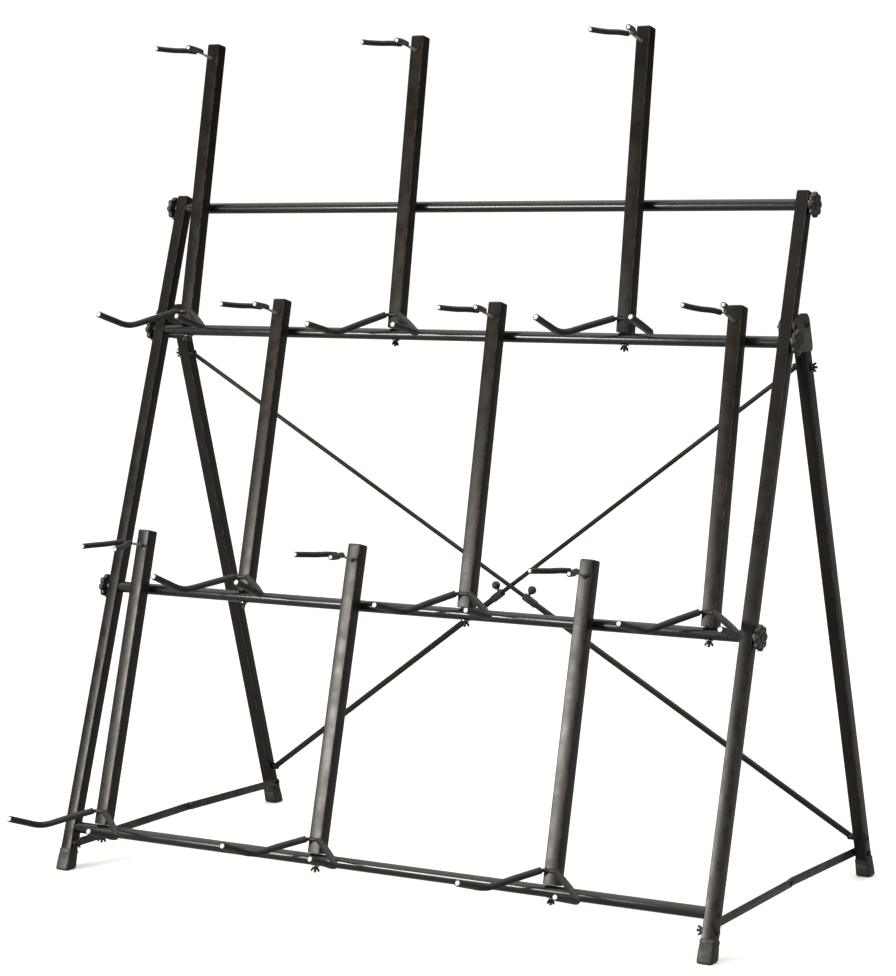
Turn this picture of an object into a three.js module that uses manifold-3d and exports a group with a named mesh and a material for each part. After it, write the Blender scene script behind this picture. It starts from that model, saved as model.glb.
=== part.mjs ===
// Three-tier A-frame display rack for nine guitars.
// Millimetres, +Z up, +X along the crossbars, the guitars face -Y.
// Origin: on the floor, midway between the side frames, at the middle of the depth.
import * as THREE from 'three';
import { mergeVertices } from 'three/addons/utils/BufferGeometryUtils.js';
import Module from 'manifold-3d';

const wasm = await Module();
wasm.setup();

// ---- driving dimensions ----
const GAP = 0.3;                       // air between pieces that touch
const GAUGE = 1586;                    // between the axes of the two front posts
const FRONT_FOOT_Y = -343.6;           // where the front posts' axes meet the floor
const REAR_FOOT_Y = FRONT_FOOT_Y + 839.5;
const POST_LEAN = THREE.MathUtils.degToRad(17.3);
const LEG_LEAN = THREE.MathUtils.degToRad(17.65);

const POST_SIDE = 28;                  // square tube of the posts and rear legs
const POST_TOP = 1586;                 // along the post's axis, from the floor
const BAR_R = 12.5;
const BAR_AT = { top: 1560, upper: 1262, lower: 647, bottom: 95 };

const UPRIGHT_SIDE = 32;
const UPRIGHT_LENGTH = 668;
const REST_PAD = 8.5;                  // block between an upright's back and its upper bar
const SPACING = 571;                   // between neighbouring uprights of a tier
const TIERS = [
  { name: 'top', foot: 'upper', rest: 'top', middle: -148 },
  { name: 'middle', foot: 'lower', rest: 'upper', middle: 137 },
  { name: 'low', foot: 'bottom', rest: 'lower', middle: -138 },
];
// How each holder was set by hand, left to right, in degrees: the upright's sideways lean, and how far
// its yoke and its cradle tip up.
const SET_BY_HAND = {
  top: { skew: [0.2, -0.6, -0.9], yoke: [0, -1.5, 1], cradle: [1, -2.5, 5] },
  middle: { skew: [-0.4, -1.1, -1.1], yoke: [0, 0, 4.5], cradle: [3.5, -3.5, -3] },
  low: { skew: [1, 0.6, 0.4], yoke: [-5.5, 0, 0], cradle: [0.5, 2, -1] },
};
const COLUMNS = [
  { name: 'left', step: -1 },
  { name: 'centre', step: 0 },
  { name: 'right', step: 1 },
];

const BOOT_SIDE = 34;
const BOOT_HEIGHT = 45;
const TUBE_START = 8;                  // the tubes stop this far above the floor, in their boots

const HINGE_AT = 1240;                 // height of the leg pivot
const HINGE_BOLT_AT = 1295;            // along the post's axis
const PLATE = 3;                       // hinge plates and stays
const STAY_POST_AT = 60;               // along the post's axis
const STAY_LEG_HEIGHT = 54;
const STAY_FRONT = 437;                // pivot to pivot
const STAY_RISE = 6;                   // middle pivots above the straight line
const STAY_WIDTH = 18;

const BRACE_TOP = 1148;                // heights where the braces meet the legs
const BRACE_LOW = 94;
const BRACE_ROD_R = 5;
const BRACE_TUBE_R = 7;
const BRACE_SPLIT = 0.52;              // where rod meets tube, as a share of the brace
const COLLAR_LENGTH = 36;
const COLLAR_R = 9;

const KNOB_R = 27.5;
const KNOB_THICK = 11;
const KNOB_LOBES = 8;

// ---- materials ----
const paint = () => new THREE.MeshStandardMaterial({ color: 0x1e1b18, roughness: 0.35, metalness: 0.6 });
const gloss = () => new THREE.MeshStandardMaterial({ color: 0x171513, roughness: 0.2, metalness: 0.7 });
const foam = () => new THREE.MeshStandardMaterial({ color: 0x141313, roughness: 0.8, metalness: 0 });
const rubber = () => new THREE.MeshStandardMaterial({ color: 0x1b1a18, roughness: 0.7, metalness: 0 });
const plastic = () => new THREE.MeshStandardMaterial({ color: 0x24211f, roughness: 0.5, metalness: 0 });
const steel = () => new THREE.MeshStandardMaterial({ color: 0x4a443e, roughness: 0.4, metalness: 0.8 });

const rack = new THREE.Group();
rack.name = 'guitar_rack';

function place(name, geometry, material) {
  geometry.computeVertexNormals();
  const mesh = new THREE.Mesh(geometry, material);
  mesh.name = name;
  rack.add(mesh);
}

// ---- geometry helpers ----
function plain(geometry) {
  const bare = geometry.index ? geometry.toNonIndexed() : geometry.clone();
  bare.deleteAttribute('normal');
  bare.deleteAttribute('uv');
  return bare;
}

function toSolid(geometry) {
  const bare = mergeVertices(plain(geometry), 1e-4);
  return new wasm.Manifold(new wasm.Mesh({
    numProp: 3,
    vertProperties: Float32Array.from(bare.attributes.position.array),
    triVerts: Uint32Array.from(bare.index.array),
  }));
}

function fromSolid(solid) {
  const mesh = solid.getMesh();
  const geometry = new THREE.BufferGeometry();
  geometry.setAttribute('position', new THREE.BufferAttribute(Float32Array.from(mesh.vertProperties), 3));
  geometry.setIndex(new THREE.BufferAttribute(Uint32Array.from(mesh.triVerts), 1));
  return geometry;
}

function union(...geometries) {
  return fromSolid(geometries.map(toSolid).reduce((all, next) => all.add(next)));
}

function squareOutline(side, corner) {
  const h = side / 2;
  const c = h - corner;
  const shape = new THREE.Shape();
  shape.moveTo(-c, -h);
  shape.lineTo(c, -h);
  shape.lineTo(h, -c);
  shape.lineTo(h, c);
  shape.lineTo(c, h);
  shape.lineTo(-c, h);
  shape.lineTo(-h, c);
  shape.lineTo(-h, -c);
  shape.closePath();
  return shape;
}

function ringOutline(radius, sides) {
  const points = [];
  for (let i = 0; i < sides; i += 1) {
    const turn = (2 * Math.PI * (i + 0.5)) / sides;
    points.push(new THREE.Vector2(radius * Math.cos(turn), radius * Math.sin(turn)));
  }
  return new THREE.Shape(points);
}

// A prism from z = low to z = high.
function prism(shape, low, high) {
  return new THREE.ExtrudeGeometry(shape, { depth: high - low, bevelEnabled: false }).translate(0, 0, low);
}

// A cylinder along X, centred on (y, z).
function discX(radius, sides, x0, x1, [y, z]) {
  const low = Math.min(x0, x1);
  const high = Math.max(x0, x1);
  return prism(ringOutline(radius, sides), low, high).rotateX(Math.PI / 2).rotateZ(Math.PI / 2)
    .translate(0, y, z);
}

// A flat plate lying in a YZ plane, its outline given as [y, z] points.
function plateX(points, x0, x1) {
  const low = Math.min(x0, x1);
  const high = Math.max(x0, x1);
  const shape = new THREE.Shape(points.map(([y, z]) => new THREE.Vector2(y, z)));
  return prism(shape, low, high).rotateX(Math.PI / 2).rotateZ(Math.PI / 2);
}

function rod(radius, sides, points, steps) {
  const curve = points.length === 2
    ? new THREE.LineCurve3(points[0], points[1])
    : new THREE.CatmullRomCurve3(points, false, 'centripetal');
  return new THREE.ExtrudeGeometry(ringOutline(radius, sides), {
    steps,
    bevelEnabled: false,
    extrudePath: curve,
  });
}

const vec = (x, y, z) => new THREE.Vector3(x, y, z);
const leaning = (angle, x, y, z) => new THREE.Matrix4().makeRotationX(-angle).setPosition(x, y, z);

// ---- lines everything hangs on ----
function onPost(along) {
  return [FRONT_FOOT_Y + along * Math.sin(POST_LEAN), along * Math.cos(POST_LEAN)];
}

function onLeg(height) {
  return [REAR_FOOT_Y - height * Math.tan(LEG_LEAN), height];
}

const postMatrix = (side) => leaning(POST_LEAN, side * GAUGE / 2, FRONT_FOOT_Y, 0);
const legMatrix = (side) => leaning(-LEG_LEAN, side * GAUGE / 2, REAR_FOOT_Y, 0);
const SIDES = [['left', -1], ['right', 1]];
const FACE = POST_SIDE / 2;            // from a tube's axis to its face

const HINGE = onLeg(HINGE_AT);
const HINGE_BOLT = onPost(HINGE_BOLT_AT);
const STAY_POST = onPost(STAY_POST_AT);
const STAY_LEG = onLeg(STAY_LEG_HEIGHT);

// ---- boots ----
function boot(matrix) {
  const outer = prism(squareOutline(BOOT_SIDE, 4), -BOOT_SIDE, BOOT_HEIGHT).applyMatrix4(matrix);
  const socket = prism(squareOutline(POST_SIDE + 2 * GAP, 3), TUBE_START - GAP, 2 * BOOT_HEIGHT)
    .applyMatrix4(matrix);
  const aboveFloor = new THREE.BoxGeometry(4 * BOOT_SIDE, 4 * BOOT_SIDE, 4 * BOOT_SIDE)
    .translate(matrix.elements[12], matrix.elements[13], 2 * BOOT_SIDE);
  return fromSolid(toSolid(outer).subtract(toSolid(socket)).intersect(toSolid(aboveFloor)));
}

for (const [name, side] of SIDES) {
  place(`boot_front_${name}`, boot(postMatrix(side)), rubber());
  place(`boot_rear_${name}`, boot(legMatrix(side)), rubber());
}

// ---- crossbars ----
for (const [name, along] of Object.entries(BAR_AT)) {
  const half = GAUGE / 2 - FACE - GAP;
  place(`bar_${name}`, discX(BAR_R, 16, -half, half, onPost(along)), gloss());
}

// ---- wing nuts ----
const wingOutline = new THREE.Shape([
  [-4, 0], [4, 0], [10.5, 7], [10, 11.5], [6, 11], [3.5, 5.5], [-3.5, 5.5], [-6, 11], [-10, 11.5], [-10.5, 7],
].map(([x, y]) => new THREE.Vector2(x, y)));

// A wing nut that stands on the XY plane, its wings along X, with the end of its bolt standing out.
function wingNut() {
  const wings = prism(wingOutline, -1.3, 1.3).rotateX(Math.PI / 2);
  return union(wings, prism(ringOutline(5.5, 8), 0, 6), prism(ringOutline(3, 8), 1, 13));
}

// Turns something that stands on the XY plane so that it stands up along +X or -X instead.
const alongX = (side) => new THREE.Matrix4().makeRotationY(side * Math.PI / 2);

// Makes a disc for one side of the rack: "from" and "to" are distances outwards from the tubes' axis.
function discMaker(side) {
  const axis = side * GAUGE / 2;
  return (radius, sides, from, to, at) => discX(radius, sides, axis + side * from, axis + side * to, at);
}

// ---- front posts with their hinge brackets and bolts ----
const PLATE_IN = FACE + GAP;
const PLATE_OUT = PLATE_IN + PLATE;
const REAR_IN = PLATE_OUT + GAP;       // the rear straps run inside the front ones
const REAR_OUT = REAR_IN + PLATE;
const PIN_R = 4.5;
const BORE_R = 5.2;

function hingeOutline() {
  const [boltY, boltZ] = HINGE_BOLT;
  const top = HINGE_AT + 24;
  const low = HINGE_AT - 57;
  const shelf = boltZ - 14;
  const margin = FACE / Math.cos(LEG_LEAN) + PLATE;
  const rear = (height) => onLeg(height)[0] + margin;
  const front = onPost(BAR_AT.upper)[0] + 16;
  return [
    [boltY - 11, shelf],
    [front, shelf],
    [front, low],
    [rear(low) - 8, low],
    [rear(low + 8), low + 8],
    [rear(top - 10), top - 10],
    [rear(top) - 9, top],
    [boltY + 24, top],
    [boltY - 7, boltZ + 12],
    [boltY - 11, boltZ + 8],
  ];
}

function post(side) {
  const axis = side * GAUGE / 2;
  const disc = discMaker(side);
  const tube = prism(squareOutline(POST_SIDE, 2.5), TUBE_START, POST_TOP);
  const cap = prism(squareOutline(POST_SIDE - 3, 2.5), POST_TOP - 1, POST_TOP + 3);
  const plates = [-1, 1].map((face) => (
    plateX(hingeOutline(), axis + face * PLATE_IN, axis + face * PLATE_OUT)));
  const stayNut = wingNut().applyMatrix4(alongX(-side))
    .translate(axis - side * (PLATE_OUT + GAP), ...STAY_POST);
  return union(
    tube.applyMatrix4(postMatrix(side)),
    cap.applyMatrix4(postMatrix(side)),
    ...plates,
    disc(PIN_R, 12, -PLATE_OUT - 1, PLATE_OUT + 1, HINGE_BOLT),
    disc(7, 8, PLATE_OUT - 1, PLATE_OUT + 2.2, HINGE_BOLT),
    disc(7, 6, -PLATE_OUT + 1, -PLATE_OUT - 6, HINGE_BOLT),
    disc(PIN_R, 12, -PLATE_OUT - 1, PLATE_OUT + 1, HINGE),
    disc(8, 8, PLATE_OUT - 1, PLATE_OUT + 5, HINGE),
    disc(8, 6, -PLATE_OUT + 1, -PLATE_OUT - 6, HINGE),
    disc(6, 10, FACE - 1, FACE + 3, onPost(BAR_AT.bottom)),
    disc(7, 6, FACE - 1, FACE + 4, STAY_POST),
    disc(PIN_R, 12, -FACE + 1, -PLATE_OUT - 2, STAY_POST),
    stayNut,
  );
}

for (const [name, side] of SIDES) place(`post_${name}`, post(side), paint());

// ---- star knobs, each with its washer ----
const KNOB_BASE = FACE + GAP;
const WASHER_R = 12;

function starKnob(side) {
  const points = [];
  for (let i = 0; i < 4 * KNOB_LOBES; i += 1) {
    const turn = (2 * Math.PI * (i + 0.5)) / (4 * KNOB_LOBES);
    const radius = i % 4 < 2 ? KNOB_R - 1 : KNOB_R - 6;
    points.push(new THREE.Vector2(radius * Math.cos(turn), radius * Math.sin(turn)));
  }
  const rim = new THREE.ExtrudeGeometry(new THREE.Shape(points), {
    depth: KNOB_THICK - 3,
    bevelThickness: 1.5,
    bevelSize: 1,
    bevelSegments: 1,
  }).translate(0, 0, 6 + 1.5);
  const washer = prism(ringOutline(WASHER_R, 12), 0, 2);
  return union(rim, washer, prism(ringOutline(9, 10), 1, 8)).applyMatrix4(alongX(side));
}

for (const bar of ['top', 'upper', 'lower']) {
  for (const [name, side] of SIDES) {
    const knob = starKnob(side).translate(side * (GAUGE / 2 + KNOB_BASE), ...onPost(BAR_AT[bar]));
    place(`knob_${bar}_${name}`, knob, plastic());
  }
}

// ---- rear legs, with the bolts that hold the braces and stays ----
const LEG_BACK = new THREE.Vector3(0, Math.cos(LEG_LEAN), Math.sin(LEG_LEAN));
const BRACE_SET = BRACE_ROD_R + 1;     // each brace stands this far off the legs' middle plane
const BRACES = [
  { name: 'from_left', side: -1, set: -BRACE_SET },
  { name: 'from_right', side: 1, set: BRACE_SET },
];

// A brace falls from high on one leg to low on the other.
function braceLine({ side, set }) {
  const inner = GAUGE / 2 - FACE - GAP - 7;
  const high = vec(side * inner, ...onLeg(BRACE_TOP)).addScaledVector(LEG_BACK, set);
  const low = vec(-side * inner, ...onLeg(BRACE_LOW)).addScaledVector(LEG_BACK, set);
  const at = (share) => high.clone().lerp(low, share);
  const along = low.clone().sub(high).normalize();
  const up = vec(0, 0, 1).addScaledVector(along, -along.z).normalize();
  return { high, low, at, along, up };
}

function rearLeg(side) {
  const disc = discMaker(side);
  const top = HINGE_AT / Math.cos(LEG_LEAN) + 14;
  const tube = prism(squareOutline(POST_SIDE, 2.5), TUBE_START, top).applyMatrix4(legMatrix(side));
  const bore = disc(BORE_R, 12, -POST_SIDE, POST_SIDE, HINGE);
  const { high } = braceLine(BRACES.find((spec) => spec.side === side));
  const { low } = braceLine(BRACES.find((spec) => spec.side === -side));
  const topNut = wingNut().applyMatrix4(alongX(side))
    .translate(side * (GAUGE / 2 + FACE - 1), high.y, high.z);
  return fromSolid([
    disc(8, 10, -FACE + 1, -REAR_IN + GAP, STAY_LEG),
    disc(PIN_R, 12, -FACE + 1, -REAR_OUT - 2, STAY_LEG),
    disc(7, 6, -REAR_OUT - GAP, -REAR_OUT - 5, STAY_LEG),
    disc(7, 6, FACE - 1, FACE + 4, STAY_LEG),
    disc(8, 6, FACE - 1, FACE + 8, [low.y, low.z]),
    topNut,
  ].map(toSolid).reduce((leg, bolt) => leg.add(bolt), toSolid(tube).subtract(toSolid(bore))));
}

for (const [name, side] of SIDES) place(`rear_leg_${name}`, rearLeg(side), paint());

// ---- crossed telescopic braces ----
const BALL_R = 10;

// A ball on a short stem, standing on the XY plane.
function ballKnob() {
  const stem = 3.5;
  const centre = 15;
  const start = Math.asin(stem / BALL_R);
  const profile = [new THREE.Vector2(0, 0), new THREE.Vector2(stem, 0)];
  for (let i = 0; i <= 6; i += 1) {
    const turn = Math.PI - start - ((Math.PI - start) * i) / 6;
    const radius = i === 6 ? 0 : BALL_R * Math.sin(turn);
    profile.push(new THREE.Vector2(radius, centre + BALL_R * Math.cos(turn)));
  }
  return new THREE.LatheGeometry(profile, 10).rotateX(Math.PI / 2);
}

function brace(spec) {
  const { high, low, at, along, up } = braceLine(spec);
  const split = at(BRACE_SPLIT);
  const collarEnd = split.clone().addScaledVector(along, COLLAR_LENGTH);
  const face = GAUGE / 2 - FACE - GAP;
  const eye = (end, side) => discX(8, 10, side * face, side * (face - 14), [end.y, end.z]);
  const foot = split.clone().addScaledVector(along, 9).addScaledVector(up, COLLAR_R - 1);
  const turn = new THREE.Quaternion().setFromUnitVectors(vec(0, 0, 1), up);
  return union(
    rod(BRACE_ROD_R, 8, [high, collarEnd], 1),
    rod(BRACE_TUBE_R, 10, [collarEnd.clone().addScaledVector(along, -2), low], 1),
    rod(COLLAR_R, 10, [split, collarEnd], 1),
    eye(high, spec.side),
    eye(low, -spec.side),
    ballKnob().applyQuaternion(turn).translate(foot.x, foot.y, foot.z),
  );
}

for (const spec of BRACES) place(`brace_${spec.name}`, brace(spec), gloss());

// ---- folding stays ----
function stayMiddle() {
  const [y0, z0] = STAY_POST;
  const [y1, z1] = STAY_LEG;
  const span = Math.hypot(y1 - y0, z1 - z0);
  return [y0 + (STAY_FRONT * (y1 - y0)) / span, z0 + (STAY_FRONT * (z1 - z0)) / span + STAY_RISE];
}

function strapOutline([y0, z0], [y1, z1]) {
  const half = STAY_WIDTH / 2;
  const heading = Math.atan2(z1 - z0, y1 - y0);
  const points = [];
  for (const [y, z, from] of [[y1, z1, -Math.PI / 2], [y0, z0, Math.PI / 2]]) {
    for (let i = 0; i <= 4; i += 1) {
      const turn = heading + from + (Math.PI * i) / 4;
      points.push([y + half * Math.cos(turn), z + half * Math.sin(turn)]);
    }
  }
  return points;
}

// A strap with a bore at its frame end and a rivet head at the middle joint.
function stay(side, frameEnd, from, to, headFrom, headTo) {
  const disc = discMaker(side);
  const strap = plateX(
    strapOutline(frameEnd, STAY_MIDDLE),
    side * (GAUGE / 2 + from),
    side * (GAUGE / 2 + to),
  );
  const bore = disc(BORE_R, 12, from - 5, to + 5, frameEnd);
  const head = disc(7, 8, headFrom, headTo, STAY_MIDDLE);
  return fromSolid(toSolid(strap).subtract(toSolid(bore)).add(toSolid(head)));
}

const STAY_MIDDLE = stayMiddle();
for (const [name, side] of SIDES) {
  const front = stay(side, STAY_POST, -PLATE_OUT, -PLATE_IN, -PLATE_IN - 1, -PLATE_IN + 3);
  const rear = stay(side, STAY_LEG, -REAR_OUT, -REAR_IN, -REAR_OUT - 4, -REAR_OUT + 1);
  place(`stay_front_${name}`, front, steel());
  place(`stay_rear_${name}`, rear, steel());
}

// ---- uprights, neck yokes and body cradles ----
// Each holder has its own frame: origin on the axis of the bar it stands on, Z up the upright, -Y forward.
const REST_OFFSET = BAR_R + REST_PAD + UPRIGHT_SIDE / 2;
const WING_TURNS = [20, 75, 60, -40, 35, 0, 50, 15, 70];

function tierFrame(tier) {
  const [y0, z0] = onPost(BAR_AT[tier.foot]);
  const [y1, z1] = onPost(BAR_AT[tier.rest]);
  const reach = Math.hypot(y1 - y0, z1 - z0);
  const tilt = POST_LEAN - Math.asin(REST_OFFSET / reach);
  return { y: y0, z: z0, tilt, restAt: Math.sqrt(reach ** 2 - REST_OFFSET ** 2) };
}

function upright(restAt) {
  const low = BAR_R + 2 * GAP;         // leaves room for its sideways lean
  const body = new THREE.ExtrudeGeometry(squareOutline(UPRIGHT_SIDE - 3, 2), {
    depth: UPRIGHT_LENGTH - 3,
    bevelThickness: 1.5,
    bevelSize: 1.5,
    bevelSegments: 1,
  }).translate(0, 0, low + 1.5);
  const padDepth = REST_PAD + 1 - GAP;
  const pad = new THREE.BoxGeometry(22, padDepth, 20)
    .translate(0, UPRIGHT_SIDE / 2 - 1 + padDepth / 2, restAt);
  return union(body, pad);
}

// An end plug that closes a sleeve whose last points run from "before" to "end".
function endPlug(before, end, radius) {
  const along = end.clone().sub(before).normalize();
  const start = end.clone().addScaledVector(along, -1);
  return rod(radius, 8, [start, end.clone().addScaledVector(along, 2)], 1);
}

// Tips a piece up about a line along X through (y, z).
function tipUp(degrees, y, z) {
  const angle = THREE.MathUtils.degToRad(degrees);
  return new THREE.Matrix4().makeTranslation(0, y, z)
    .multiply(new THREE.Matrix4().makeRotationX(-angle))
    .multiply(new THREE.Matrix4().makeTranslation(0, -y, -z));
}

function neckYoke(pitch) {
  const sleeveR = 6.25;
  const rodR = 3;
  const face = UPRIGHT_SIDE / 2;
  const base = BAR_R + UPRIGHT_LENGTH - 36;
  const fork = base + 4;
  const stem = rod(rodR, 8, [vec(0, -face - 2 * GAP, base), vec(0, -67, fork)], 1);
  const root = rod(rodR, 8, [vec(-9, -71, fork), vec(0, -67, fork), vec(9, -71, fork)], 2);
  const parts = [stem, root];
  for (const side of [-1, 1]) {
    const path = [
      vec(side * 7.5, -70, fork),
      vec(side * 16, -94, fork - 3),
      vec(side * 29, -119, fork - 8),
      vec(side * 39, -145, fork - 12),
      vec(side * 45, -173, fork - 16),
    ];
    parts.push(rod(sleeveR, 8, path, 6), endPlug(path[3], path[4], sleeveR - 1.5));
  }
  return union(...parts).applyMatrix4(tipUp(pitch, -face, base));
}

function bodyCradle(pitch) {
  const sleeveR = 7.5;
  const rodR = 4;
  const front = -UPRIGHT_SIDE / 2 - GAP - rodR;
  const level = 41;
  const parts = [
    rod(rodR, 8, [vec(-17, front, level), vec(17, front, level)], 1),
  ];
  for (const side of [-1, 1]) {
    const path = [
      vec(side * 16.5, front - 4, level),
      vec(side * 61, -52, 18),
      vec(side * 98, -81, -3),
      vec(side * 107, -99, -6),
      vec(side * 110, -145, -3),
      vec(side * 110, -199, 1),
    ];
    parts.push(rod(sleeveR, 8, path, 8), endPlug(path[4], path[5], sleeveR - 2));
  }
  return union(...parts).applyMatrix4(tipUp(pitch, front, level));
}

function clampNut(turn) {
  const washer = prism(ringOutline(9, 10), 0, 1.5);
  const nut = wingNut().translate(0, 0, 1.5);
  return union(washer, nut).rotateZ(turn).rotateX(Math.PI).translate(0, 0, -BAR_R - GAP);
}

let count = 0;
for (const tier of TIERS) {
  const { y, z, tilt, restAt } = tierFrame(tier);
  const set = SET_BY_HAND[tier.name];
  COLUMNS.forEach((column, i) => {
    const label = `${tier.name}_${column.name}`;
    const square = leaning(tilt, tier.middle + column.step * SPACING, y, z);
    const skewed = square.clone()
      .multiply(new THREE.Matrix4().makeRotationY(THREE.MathUtils.degToRad(set.skew[i])));
    const nut = clampNut(THREE.MathUtils.degToRad(WING_TURNS[count]));
    place(`upright_${label}`, upright(restAt).applyMatrix4(skewed), paint());
    place(`yoke_${label}`, neckYoke(set.yoke[i]).applyMatrix4(skewed), foam());
    place(`cradle_${label}`, bodyCradle(set.cradle[i]).applyMatrix4(skewed), foam());
    place(`wing_nut_${label}`, nut.applyMatrix4(square), plastic());
    count += 1;
  });
}

export default rack;
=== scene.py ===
"""Three-tier A-frame guitar rack: the visual model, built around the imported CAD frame. Metres, +Z up."""
import math

import bmesh
import bpy
from mathutils import Matrix, Vector


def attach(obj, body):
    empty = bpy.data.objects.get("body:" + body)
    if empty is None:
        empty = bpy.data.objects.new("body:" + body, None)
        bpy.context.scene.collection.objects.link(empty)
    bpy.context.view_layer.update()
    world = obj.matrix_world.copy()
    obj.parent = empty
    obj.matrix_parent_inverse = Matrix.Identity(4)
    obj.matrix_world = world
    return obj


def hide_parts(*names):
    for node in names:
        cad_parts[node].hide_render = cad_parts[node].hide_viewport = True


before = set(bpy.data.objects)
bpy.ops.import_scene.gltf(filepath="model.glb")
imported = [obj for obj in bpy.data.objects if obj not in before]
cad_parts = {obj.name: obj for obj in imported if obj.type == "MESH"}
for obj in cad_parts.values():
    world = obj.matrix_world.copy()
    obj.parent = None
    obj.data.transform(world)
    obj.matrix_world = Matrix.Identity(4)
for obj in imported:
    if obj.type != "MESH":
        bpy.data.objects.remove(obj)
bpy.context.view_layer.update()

# ---- driving dimensions, the same as the CAD model's ----
MM = 0.001
GAP = 0.3 * MM
GAUGE = 1.586                          # between the axes of the two front posts
FRONT_FOOT_Y = -0.3436                 # where the front posts' axes meet the floor
REAR_FOOT_Y = FRONT_FOOT_Y + 0.8395
POST_LEAN = math.radians(17.3)
LEG_LEAN = math.radians(17.65)
POST_SIDE = 28 * MM
POST_TOP = 1.586                       # along the post's axis, from the floor
BAR_R = 12.5 * MM
BAR_AT = {"top": 1.560, "upper": 1.262, "lower": 0.647, "bottom": 0.095}

UPRIGHT_SIDE = 32 * MM
UPRIGHT_LENGTH = 0.668
REST_PAD = 8.5 * MM
SPACING = 0.571
TIERS = [
    ("top", "upper", "top", -0.148),   # name, the bar it stands on, the bar it leans on, its middle
    ("middle", "lower", "upper", 0.137),
    ("low", "bottom", "lower", -0.138),
]
# How each holder was set by hand, left to right, in degrees: the upright's sideways lean, and how far
# its yoke and its cradle tip up.
SET_BY_HAND = {
    "top": {"skew": (0.2, -0.6, -0.9), "yoke": (0, -1.5, 1), "cradle": (1, -2.5, 5)},
    "middle": {"skew": (-0.4, -1.1, -1.1), "yoke": (0, 0, 4.5), "cradle": (3.5, -3.5, -3)},
    "low": {"skew": (1, 0.6, 0.4), "yoke": (-5.5, 0, 0), "cradle": (0.5, 2, -1)},
}
COLUMNS = [("left", -1), ("centre", 0), ("right", 1)]
SIDES = [("left", -1), ("right", 1)]

BOOT_SIDE = 34 * MM
BOOT_HEIGHT = 45 * MM
TUBE_START = 8 * MM

HINGE_AT = 1.240
HINGE_BOLT_AT = 1.295
PLATE = 3 * MM
STAY_POST_AT = 0.060
STAY_LEG_HEIGHT = 0.054
STAY_FRONT = 0.437
STAY_RISE = 6 * MM
STAY_WIDTH = 18 * MM

BRACE_TOP = 1.148
BRACE_LOW = 0.094
BRACE_ROD_R = 5 * MM
BRACE_TUBE_R = 7 * MM
BRACE_SPLIT = 0.52
COLLAR_LENGTH = 36 * MM
COLLAR_R = 9 * MM
BALL_R = 10 * MM

KNOB_R = 27.4 * MM
KNOB_LOBES = 8
YOKE_SLEEVE_R = 6.2 * MM
CRADLE_SLEEVE_R = 7.2 * MM

FACE = POST_SIDE / 2
PLATE_IN = FACE + GAP
PLATE_OUT = PLATE_IN + PLATE
REAR_IN = PLATE_OUT + GAP              # the rear straps run inside the front ones
REAR_OUT = REAR_IN + PLATE
PIN_R = 4.4 * MM


# ---- materials ----
def new_material(name, values):
    """A material and its shader, with plain values set on the shader's own sockets."""
    made = bpy.data.materials.new(name)
    made.use_nodes = True
    shader = made.node_tree.nodes["Principled BSDF"]
    for socket, value in values.items():
        shader.inputs[socket].default_value = value
    return made, made.node_tree, shader


def add_node(tree, kind, inputs=None, **settings):
    made = tree.nodes.new(kind)
    for key, value in settings.items():
        setattr(made, key, value)
    for key, value in (inputs or {}).items():
        if isinstance(value, bpy.types.NodeSocket):
            tree.links.new(value, made.inputs[key])
        else:
            made.inputs[key].default_value = value
    return made


def place_at(tree, stretch=(1, 1, 1)):
    """Object coordinates in metres, stretched along the axes for a grain that runs one way."""
    coordinates = add_node(tree, "ShaderNodeTexCoord")
    mapping = add_node(tree, "ShaderNodeMapping", {
        "Vector": coordinates.outputs["Object"], "Scale": stretch})
    return mapping.outputs["Vector"]


def noise(tree, scale, detail=3.0, stretch=(1, 1, 1)):
    made = add_node(tree, "ShaderNodeTexNoise",
                    {"Vector": place_at(tree, stretch), "Scale": scale, "Detail": detail})
    return made.outputs["Fac"]


def spread(tree, factor, low, high, start=0.35, end=0.65):
    """Takes a noise to values between low and high."""
    made = add_node(tree, "ShaderNodeMapRange", {
        "Value": factor, "From Min": start, "From Max": end, "To Min": low, "To Max": high})
    return made.outputs["Result"]


def blend_colours(tree, factor, first, second):
    made = add_node(tree, "ShaderNodeMix", data_type="RGBA")
    tree.links.new(factor, made.inputs["Factor"])
    for socket, value in ((made.inputs[6], first), (made.inputs[7], second)):
        if isinstance(value, bpy.types.NodeSocket):
            tree.links.new(value, socket)
        else:
            socket.default_value = (*value, 1)
    return made.outputs[2]


def multiply(tree, first, second):
    made = add_node(tree, "ShaderNodeMath", {0: first, 1: second}, operation="MULTIPLY")
    return made.outputs["Value"]


def add_bump(tree, shader, layers):
    """Stacks bumps; each layer is (height, distance in metres, strength)."""
    normal = None
    for height, distance, strength in layers:
        made = add_node(tree, "ShaderNodeBump", {
            "Height": height, "Distance": distance, "Strength": strength})
        if normal is not None:
            tree.links.new(normal, made.inputs["Normal"])
        normal = made.outputs["Normal"]
    tree.links.new(normal, shader.inputs["Normal"])


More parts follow.
